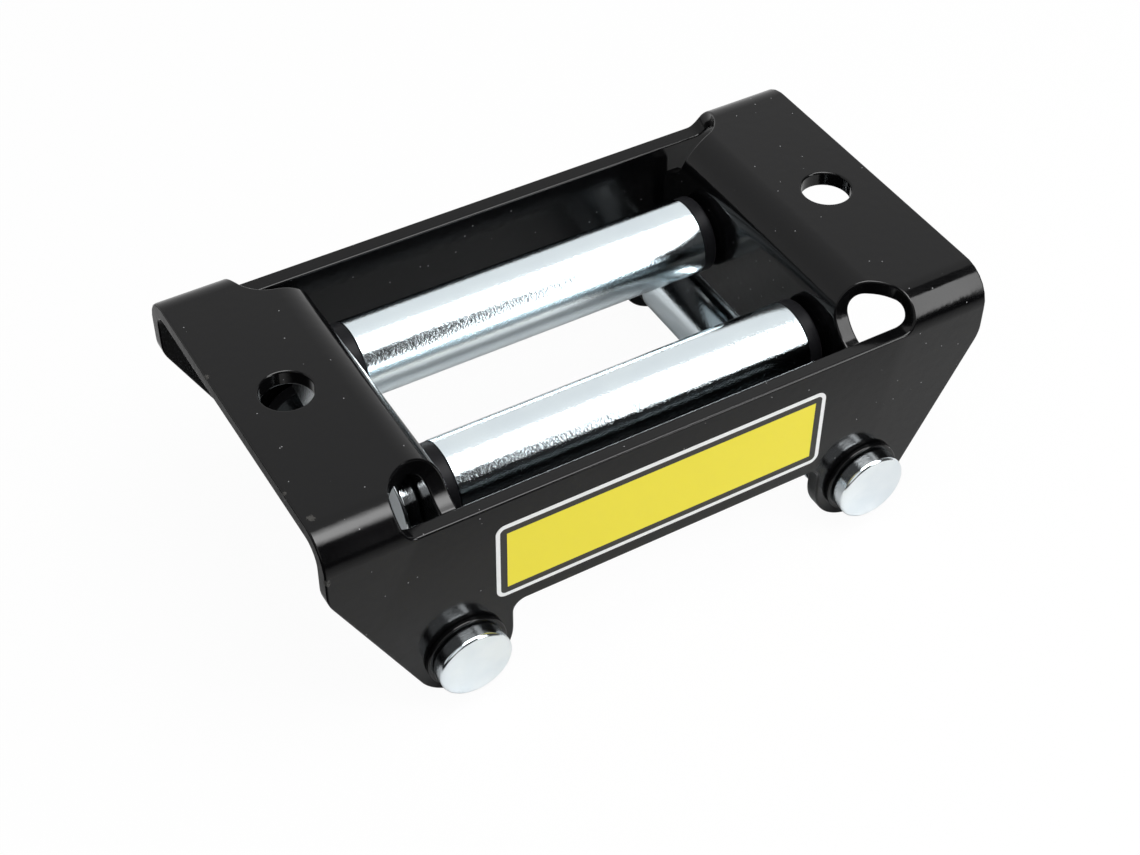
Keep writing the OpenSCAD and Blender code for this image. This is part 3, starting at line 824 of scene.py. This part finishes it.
def depth_inside(tree, place):
    """How far a point lies inside the sticker's rounded outline."""
    x, _, z = add(tree, "ShaderNodeSeparateXYZ", {0: place}).outputs
    corner = STICKER["corner"] * MM
    past, beyond = [], []
    for along, name in ((x, "x"), (z, "z")):
        off = add(tree, "ShaderNodeMath", {0: along, 1: STICKER[name] * MM}, operation="SUBTRACT")
        off = add(tree, "ShaderNodeMath", {0: off}, operation="ABSOLUTE")
        straight = STICKER["half_" + name] * MM - corner
        past.append(add(tree, "ShaderNodeMath", {0: off, 1: straight}, operation="SUBTRACT"))
        beyond.append(add(tree, "ShaderNodeMath", {0: past[-1], 1: 0.0}, operation="MAXIMUM"))
    outer = add(tree, "ShaderNodeCombineXYZ", {"X": beyond[0], "Z": beyond[1]})
    outer = add(tree, "ShaderNodeVectorMath", {0: outer}, operation="LENGTH")
    inner = add(tree, "ShaderNodeMath", {0: past[0], 1: past[1]}, operation="MAXIMUM")
    inner = add(tree, "ShaderNodeMath", {0: inner, 1: 0.0}, operation="MINIMUM")
    reach = add(tree, "ShaderNodeMath", {0: outer, 1: inner}, operation="ADD")
    return add(tree, "ShaderNodeMath", {0: corner, 1: reach}, operation="SUBTRACT")


def printed_vinyl():
    material, tree, place = new_material("printed_vinyl")
    depth = depth_inside(tree, place)
    ink = paint(WHITE_LINE)
    for begin, colour in INKS:
        here = add(tree, "ShaderNodeMath", {0: depth, 1: begin * MM}, operation="GREATER_THAN")
        ink = add(tree, "ShaderNodeMix", {0: here, 6: ink, 7: paint(colour)}, data_type="RGBA")
    vinyl = add(tree, "ShaderNodeBsdfPrincipled", {
        "Base Color": ink, "Roughness": 0.3, "Specular IOR Level": 0.35})
    add(tree, "ShaderNodeOutputMaterial", {"Surface": vinyl})
    return material


vinyl_print = printed_vinyl()
print(vinyl_print.name, "has", len(vinyl_print.node_tree.nodes), "nodes")

# %% The sticker's sheet
# The adhesive keeps the sheet this far off the paint, in mm
ADHESIVE = 0.01


def sticker_sheet():
    """A thin plate with rounded corners, lying on the front wall."""
    hx, hz, r = STICKER["half_x"], STICKER["half_z"], STICKER["corner"]
    cx, cz = hx - r, hz - r
    outline = []
    for sx, sz, a in ((1, 1, 0), (-1, 1, 90), (-1, -1, 180), (1, -1, 270)):
        outline += arc((sx * cx, sz * cz), r, a, a + 90, 0.3)
    mesh = bmesh.new()
    face = mesh.faces.new([
        mesh.verts.new(((STICKER["x"] + x) * MM, -(HALF_WIDTH + ADHESIVE) * MM, (STICKER["z"] + z) * MM))
        for x, z in outline])
    raised = bmesh.ops.extrude_face_region(mesh, geom=[face])["geom"]
    bmesh.ops.translate(mesh, vec=(0, -STICKER["thick"] * MM, 0),
                        verts=[g for g in raised if isinstance(g, bmesh.types.BMVert)])
    bmesh.ops.recalc_face_normals(mesh, faces=mesh.faces)
    data = bpy.data.meshes.new("wall_sticker")
    mesh.to_mesh(data)
    mesh.free()
    obj = bpy.data.objects.new("wall_sticker", data)
    bpy.context.scene.collection.objects.link(obj)
    return obj


sticker = sticker_sheet()
sticker.data.materials.append(vinyl_print)
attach(sticker, "frame_body")
print("sticker", 2 * STICKER["half_x"], "by", 2 * STICKER["half_z"], "mm")

# %% [markdown]
# ## Floor
#
# Gloss black paint and bright zinc show little of their own colour: they show the studio. So the
# studio has a white half behind the object, a dark half in front, and three soft boxes.
#
# The floor is plain white to the camera and keeps a trace of the object's shadow. To a mirror it
# is white behind the object, and dark in front and on the left.

# %% Floor
FLOOR_Z = SHORT_Z - LEG_RADIUS
# Half of the floor's side, in metres
FLOOR_HALF = 4.0
# How much of what the camera sees is plain white; the rest keeps the shadow
CAMERA_SHARE = 0.96
# Where a mirror sees the floor change, in mm from the object's middle: from the first place to the second
WHITE_BEHIND, DARK_BEFORE, DARK_ON_LEFT = (60, 300), (-70, -260), (-75, -100)


def studio_white():
    material, tree, place = new_material("studio_white_floor")
    ray = add(tree, "ShaderNodeLightPath").outputs
    x, y, _ = add(tree, "ShaderNodeSeparateXYZ", {0: place}).outputs
    behind, before, beside = (
        add(tree, "ShaderNodeMapRange", {"Value": along, "From Min": first * MM, "From Max": last * MM})
        for along, (first, last) in ((y, WHITE_BEHIND), (y, DARK_BEFORE), (x, DARK_ON_LEFT)))
    dark = add(tree, "ShaderNodeMath", {0: before, 1: beside}, operation="MAXIMUM")
    dark = add(tree, "ShaderNodeMath", {0: ray["Is Glossy Ray"], 1: dark}, operation="MULTIPLY")
    tone = add(tree, "ShaderNodeMix", {0: dark, 6: paint("#f2f2f2"), 7: paint("#101010")}, data_type="RGBA")
    mirrored = add(tree, "ShaderNodeMath", {0: ray["Is Glossy Ray"], 1: behind}, operation="MULTIPLY")
    seen = add(tree, "ShaderNodeMath", {0: ray["Is Camera Ray"], 1: mirrored}, operation="MAXIMUM")
    share = add(tree, "ShaderNodeMath", {0: seen, 1: CAMERA_SHARE}, operation="MULTIPLY")
    plain = add(tree, "ShaderNodeBsdfDiffuse", {"Color": tone})
    lit = add(tree, "ShaderNodeEmission", {"Color": (1, 1, 1, 1), "Strength": 1.0})
    mix = add(tree, "ShaderNodeMixShader", {0: share, 1: plain, 2: lit})
    add(tree, "ShaderNodeOutputMaterial", {"Surface": mix})
    return material


floor_mesh = bpy.data.meshes.new("studio_floor")
corners = [(x * FLOOR_HALF, y * FLOOR_HALF, FLOOR_Z * MM) for x, y in ((-1, -1), (1, -1), (1, 1), (-1, 1))]
floor_mesh.from_pydata(corners, [], [(0, 1, 2, 3)])
floor_mesh.materials.append(studio_white())
floor = bpy.data.objects.new("studio_floor", floor_mesh)
bpy.context.scene.collection.objects.link(floor)
print("floor at", round(FLOOR_Z, 1), "mm, under the legs")

# %% [markdown]
# ## What the mirrors see
#
# The white, the dark and the soft boxes are drawn in the world's colour, for glossy rays alone,
# because a reflection needs no lamp. The box overhead is brightest along its middle, which is why
# the strip that it draws on a painted bend fades on both sides. To the camera the world is white.

# %% World
# Azimuth from +X towards +Y, elevation, ranges across and up, edge, and brightness in plain whites
BOXES = [(0, 90, (-0.6, 0.01), (-0.5, 0.3), 0.18, 15.0), (-90, 48, (0.5, 0.8), (-0.95, 0.43), 0.03, 8.5),
         (-135, 35, (-0.5, 0.5), (-0.45, 0.45), 0.1, 0.9)]
UPPER_EDGE = 0.02
# Brightness of the dark half, of the white half at the horizon, what the white half gains overhead,
# and how closely that gain keeps to the zenith
DARK_HALF, WHITE_HALF, OVERHEAD_GAIN, OVERHEAD_FOCUS = 0.06, 0.94, 0.3, 8.0
# The dark half leans this much over the object, and meets the white half over an edge this wide
LEAN, HALF_EDGE = 0.16, 0.03
# Brightness for the light that surfaces scatter
SCATTERED = 0.4

world = bpy.data.worlds.new("studio")
bpy.context.scene.world = world
world.use_nodes = True
sky = world.node_tree
sky.nodes.clear()


def mirrored_box(ray, azimuth, elevation, across_range, up_range, soft):
    """1 where a reflected ray meets a distant soft box, fading to 0 over its edge.

    The box stands square to the direction given in degrees. Its ranges are in units of its distance.
    """
    az, el = math.radians(azimuth), math.radians(elevation)
    ahead = Vector((math.cos(az) * math.cos(el), math.sin(az) * math.cos(el), math.sin(el)))
    across = Vector((-math.sin(az), math.cos(az), 0))
    depth = add(sky, "ShaderNodeVectorMath", {0: ray, 1: ahead}, operation="DOT_PRODUCT")
    # A ray that leads away from the box counts as just ahead of it, which puts it far outside
    depth = add(sky, "ShaderNodeMath", {0: depth, 1: 0.01}, operation="MAXIMUM")
    sides = (across, across_range, soft), (ahead.cross(across), up_range, UPPER_EDGE)
    met = 1.0
    for axis, (low, high), fade in sides:
        off = add(sky, "ShaderNodeVectorMath", {0: ray, 1: axis}, operation="DOT_PRODUCT")
        off = add(sky, "ShaderNodeMath", {0: off, 1: depth}, operation="DIVIDE")
        off = add(sky, "ShaderNodeMath", {0: off, 1: (low + high) / 2}, operation="SUBTRACT")
        off = add(sky, "ShaderNodeMath", {0: off}, operation="ABSOLUTE")
        half = (high - low) / 2
        inside = add(sky, "ShaderNodeMapRange", {
            "Value": off, "From Min": half + fade, "From Max": half - fade})
        met = add(sky, "ShaderNodeMath", {0: met, 1: inside}, operation="MULTIPLY")
    return met


def shown_strength():
    """What reflections see of the studio: white behind the object, dark in front, and the soft boxes."""
    ray = add(sky, "ShaderNodeTexCoord").outputs["Generated"]
    _, y, z = add(sky, "ShaderNodeSeparateXYZ", {0: ray}).outputs
    overhead = add(sky, "ShaderNodeMath", {0: z, 1: OVERHEAD_FOCUS}, operation="POWER")
    ceiling = add(sky, "ShaderNodeMath", {
        0: overhead, 1: OVERHEAD_GAIN, 2: WHITE_HALF}, operation="MULTIPLY_ADD")
    back = add(sky, "ShaderNodeMath", {0: z, 1: -LEAN, 2: y}, operation="MULTIPLY_ADD")
    behind = add(sky, "ShaderNodeMapRange", {"Value": back, "From Min": -HALF_EDGE, "From Max": HALF_EDGE})
    shown = add(sky, "ShaderNodeMix", {0: behind, 2: DARK_HALF, 3: ceiling})
    for *shape, radiance in BOXES:
        glow = add(sky, "ShaderNodeMath", {0: mirrored_box(ray, *shape), 1: radiance}, operation="MULTIPLY")
        shown = add(sky, "ShaderNodeMath", {0: shown, 1: glow}, operation="MAXIMUM")
    return shown


path = add(sky, "ShaderNodeLightPath").outputs
lit = add(sky, "ShaderNodeMix", {0: path["Is Glossy Ray"], 2: SCATTERED, 3: shown_strength()})
seen = add(sky, "ShaderNodeMix", {0: path["Is Camera Ray"], 2: lit, 3: 1.0})
surround = add(sky, "ShaderNodeBackground", {"Color": (1, 1, 1, 1), "Strength": seen})
add(sky, "ShaderNodeOutputWorld", {"Surface": surround})
print(len(BOXES), "soft boxes in the world's", len(sky.nodes), "nodes")

# %% [markdown]
# ## Lamps
#
# Surfaces that scatter light, such as the nylon and the sticker, need real light. Two plain area
# lamps give it, from overhead and from the front right. No mirror shows them, so they don't add
# to the boxes that the paint and the zinc reflect.

# %% Lamps


def soft_box(name, at, facing, size, radiance):
    """A rectangular soft box, in mm, that shines as bright as the given number of plain whites."""
    light = bpy.data.lights.new(name, "AREA")
    light.shape = "RECTANGLE"
    light.size, light.size_y = (s * MM for s in size)
    light.energy = radiance * math.pi * light.size * light.size_y
    lamp = bpy.data.objects.new(name, light)
    lamp.location = Vector(at) * MM
    lamp.rotation_euler = (-Vector(facing)).to_track_quat("Z", "Y").to_euler()
    lamp.visible_camera = lamp.visible_glossy = False
    bpy.context.scene.collection.objects.link(lamp)
    print(name, "uses", round(light.energy, 1), "W")


soft_box("overhead", (140, -212, 650), (0, 0, -1), (480, 557), 4.5)
soft_box("front_right", (620, -470, 330), (-0.76, 0.6, -0.1), (420, 560), 2.8)

# %% [markdown]
# ## Camera
#
# The view was solved from edge points in the photograph, together with the object's sizes. It
# comes as a turn about one axis, by as many radians as the vector is long, the camera's place in
# mm, and a focal length in the photograph's pixels. The photograph's camera looks along +Z with
# Y down, Blender's along -Z with Y up, so two axes change sign.

# %% Camera
PHOTO_WIDTH, FOCAL_LENGTH = 1140, 1997.752
TURN = Vector((2.28473441, -0.616389887, 0.272833578))
STAND = Vector((-156.077, -258.779, 258.165))

camera_data = bpy.data.cameras.new("portrait")
camera = bpy.data.objects.new("portrait", camera_data)
bpy.context.scene.collection.objects.link(camera)
bpy.context.scene.camera = camera
camera_data.sensor_fit = "HORIZONTAL"
camera_data.sensor_width = 36.0
camera_data.lens = camera_data.sensor_width * FOCAL_LENGTH / PHOTO_WIDTH
camera_data.clip_start = 0.01
right, down, ahead = Matrix.Rotation(TURN.length, 3, TURN.normalized()).row
stand = Matrix((right, -down, -ahead)).transposed().to_4x4()
stand.translation = STAND * MM
camera.matrix_world = stand
bpy.context.scene.view_settings.view_transform = "Standard"
print("camera", round(camera_data.lens, 2), "mm lens")
